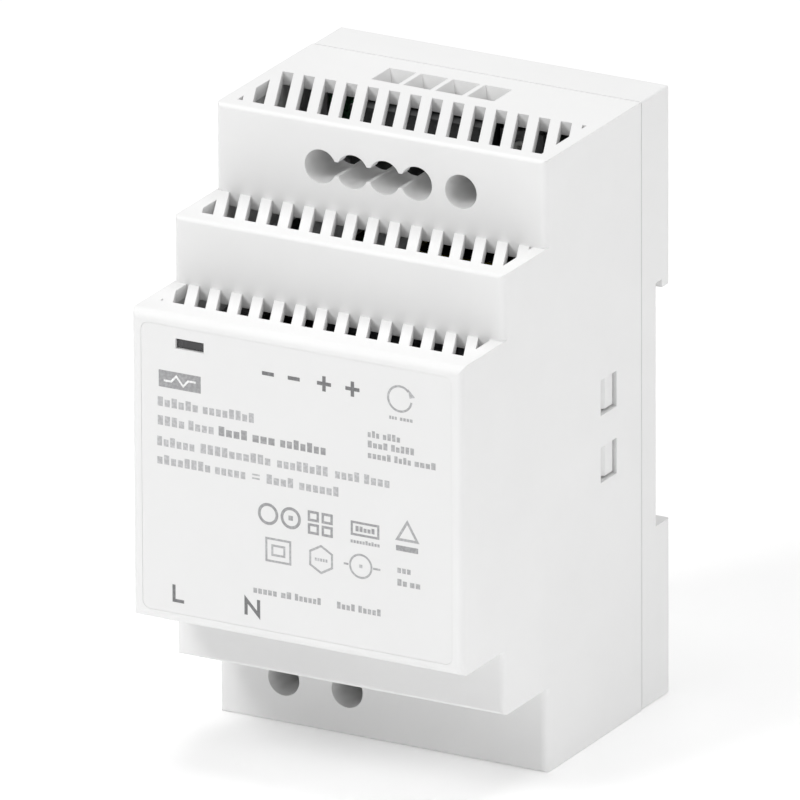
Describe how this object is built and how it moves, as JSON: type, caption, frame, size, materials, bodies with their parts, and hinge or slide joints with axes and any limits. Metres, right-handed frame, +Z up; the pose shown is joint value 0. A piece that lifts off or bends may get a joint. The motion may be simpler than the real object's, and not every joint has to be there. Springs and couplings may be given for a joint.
{
  "type": "din rail power supply",
  "caption": "Stepped white housing that clips to a 35 mm rail and turns mains into low-voltage DC, with vent slots, screw terminals, an output trimmer and a pull-down rail latch.",
  "frame": {"origin": "middle of the bottom face, under the centre of the whole bounding box", "axes": "+X to the right seen from the front, +Y from the label to the rail, +Z up"},
  "size_m": [0.0524, 0.061, 0.091],
  "materials": {
    "housing_plastic": "fine moulded matt white",
    "base_plastic": "fine moulded matt white",
    "label_film": "satin white printed field",
    "light_pipe": "smoked clear plastic",
    "latch_plastic": "matt white",
    "spring_steel": "drawn wire",
    "terminal_plastic": "moulded dark grey",
    "contact_metal": "tinned brass",
    "screw_steel": "zinc plated",
    "plated_metal": "nickel plated",
    "board_laminate": "solder mask green",
    "insulating_film": "thin film",
    "trim_plastic": "moulded grey",
    "rotor_plastic": "moulded white",
    "led_resin": "clear green resin",
    "ferrite": "sintered dark grey",
    "bobbin_plastic": "moulded black",
    "winding_tape": "polyester tape",
    "capacitor_sleeve": "shrunk sleeve",
    "copper_wire": "enamelled copper",
    "box_capacitor": "moulded case",
    "fuse_glass": "clear",
    "disc_coating": "dipped coating",
    "thermistor_coating": "dipped coating",
    "device_plastic": "moulded epoxy",
    "heatsink_metal": "rolled sheet"
  },
  "bodies": {
    "casing": {"front_housing": "housing_plastic", "rear_base": "base_plastic", "front_label": "label_film", "light_pipe": "light_pipe", "latch_spring": "spring_steel", "output_terminal_body": "terminal_plastic", "output_contact_bars": "contact_metal", "input_terminal_body": "terminal_plastic", "input_contact_bars": "contact_metal", "main_board": "board_laminate", "board_screws": "screw_steel", "insulating_sheet": "insulating_film", "trim_pot_body": "trim_plastic", "status_led": "led_resin", "transformer_core": "ferrite", "transformer_bobbin": "bobbin_plastic", "transformer_winding": "winding_tape", "bulk_capacitor": "capacitor_sleeve", "output_capacitor_1": "capacitor_sleeve", "output_capacitor_2": "capacitor_sleeve", "output_inductor": "ferrite", "choke_core": "ferrite", "choke_windings": "copper_wire", "x_capacitor": "box_capacitor", "fuse_tube": "fuse_glass", "fuse_caps": "plated_metal", "fuse_clips": "plated_metal", "varistor": "disc_coating", "thermistor": "thermistor_coating", "bridge_rectifier": "device_plastic", "y_capacitor": "disc_coating", "optocoupler": "device_plastic", "controller_chip": "device_plastic", "primary_heatsink": "heatsink_metal", "output_heatsink": "heatsink_metal", "switching_transistor": "device_plastic", "output_rectifier": "device_plastic", "heatsink_screws": "screw_steel"},
    "latch": {"din_latch": "latch_plastic"},
    "trim_adjuster": {"trim_rotor": "rotor_plastic"},
    "output_screw_1": {"output_screw_1": "screw_steel"},
    "output_cage_1": {"output_cage_1": "plated_metal"},
    "output_screw_2": {"output_screw_2": "screw_steel"},
    "output_cage_2": {"output_cage_2": "plated_metal"},
    "output_screw_3": {"output_screw_3": "screw_steel"},
    "output_cage_3": {"output_cage_3": "plated_metal"},
    "output_screw_4": {"output_screw_4": "screw_steel"},
    "output_cage_4": {"output_cage_4": "plated_metal"},
    "input_screw_1": {"input_screw_1": "screw_steel"},
    "input_cage_1": {"input_cage_1": "plated_metal"},
    "input_screw_2": {"input_screw_2": "screw_steel"},
    "input_cage_2": {"input_cage_2": "plated_metal"}
  },
  "joints": [
    {"name": "latch_slide", "type": "slide", "parent": "casing", "child": "latch", "axis": [0, 0, -1], "range_m": [0, 0.003], "stiffness_N_per_m": 900, "springref_m": -0.002, "deforming": ["latch_spring"]},
    {"name": "trim_turn", "type": "hinge", "parent": "casing", "child": "trim_adjuster", "pos_m": [0.0128, 0.0119, 0.0843], "axis": [0, 1, 0], "range_deg": [-135, 135]},
    {"name": "output_screw_1_turn", "type": "hinge", "parent": "casing", "child": "output_screw_1", "pos_m": [-0.00952, 0.00985, 0.0843], "axis": [0, 1, 0], "range_deg": [0, 1660]},
    {"name": "output_cage_1_rise", "type": "slide", "parent": "casing", "child": "output_cage_1", "axis": [0, -1, 0], "range_m": [0, 0.0023]},
    {"name": "output_screw_2_turn", "type": "hinge", "parent": "casing", "child": "output_screw_2", "pos_m": [-0.00444, 0.00985, 0.0843], "axis": [0, 1, 0], "range_deg": [0, 1660]},
    {"name": "output_cage_2_rise", "type": "slide", "parent": "casing", "child": "output_cage_2", "axis": [0, -1, 0], "range_m": [0, 0.0023]},
    {"name": "output_screw_3_turn", "type": "hinge", "parent": "casing", "child": "output_screw_3", "pos_m": [0.00064, 0.00985, 0.0843], "axis": [0, 1, 0], "range_deg": [0, 1660]},
    {"name": "output_cage_3_rise", "type": "slide", "parent": "casing", "child": "output_cage_3", "axis": [0, -1, 0], "range_m": [0, 0.0023]},
    {"name": "output_screw_4_turn", "type": "hinge", "parent": "casing", "child": "output_screw_4", "pos_m": [0.00572, 0.00985, 0.0843], "axis": [0, 1, 0], "range_deg": [0, 1660]},
    {"name": "output_cage_4_rise", "type": "slide", "parent": "casing", "child": "output_cage_4", "axis": [0, -1, 0], "range_m": [0, 0.0023]},
    {"name": "input_screw_1_turn", "type": "hinge", "parent": "casing", "child": "input_screw_1", "pos_m": [-0.01583, 0.00985, 0.0067], "axis": [0, 1, 0], "range_deg": [0, 1660]},
    {"name": "input_cage_1_rise", "type": "slide", "parent": "casing", "child": "input_cage_1", "axis": [0, -1, 0], "range_m": [0, 0.0023]},
    {"name": "input_screw_2_turn", "type": "hinge", "parent": "casing", "child": "input_screw_2", "pos_m": [-0.00567, 0.00985, 0.0067], "axis": [0, 1, 0], "range_deg": [0, 1660]},
    {"name": "input_cage_2_rise", "type": "slide", "parent": "casing", "child": "input_cage_2", "axis": [0, -1, 0], "range_m": [0, 0.0023]}
  ],
  "couplings": [
    {"joint": "output_screw_1_turn", "follows": "output_cage_1_rise", "rad_per_m": 12566},
    {"joint": "output_screw_2_turn", "follows": "output_cage_2_rise", "rad_per_m": 12566},
    {"joint": "output_screw_3_turn", "follows": "output_cage_3_rise", "rad_per_m": 12566},
    {"joint": "output_screw_4_turn", "follows": "output_cage_4_rise", "rad_per_m": 12566},
    {"joint": "input_screw_1_turn", "follows": "input_cage_1_rise", "rad_per_m": 12566},
    {"joint": "input_screw_2_turn", "follows": "input_cage_2_rise", "rad_per_m": 12566}
  ]
}
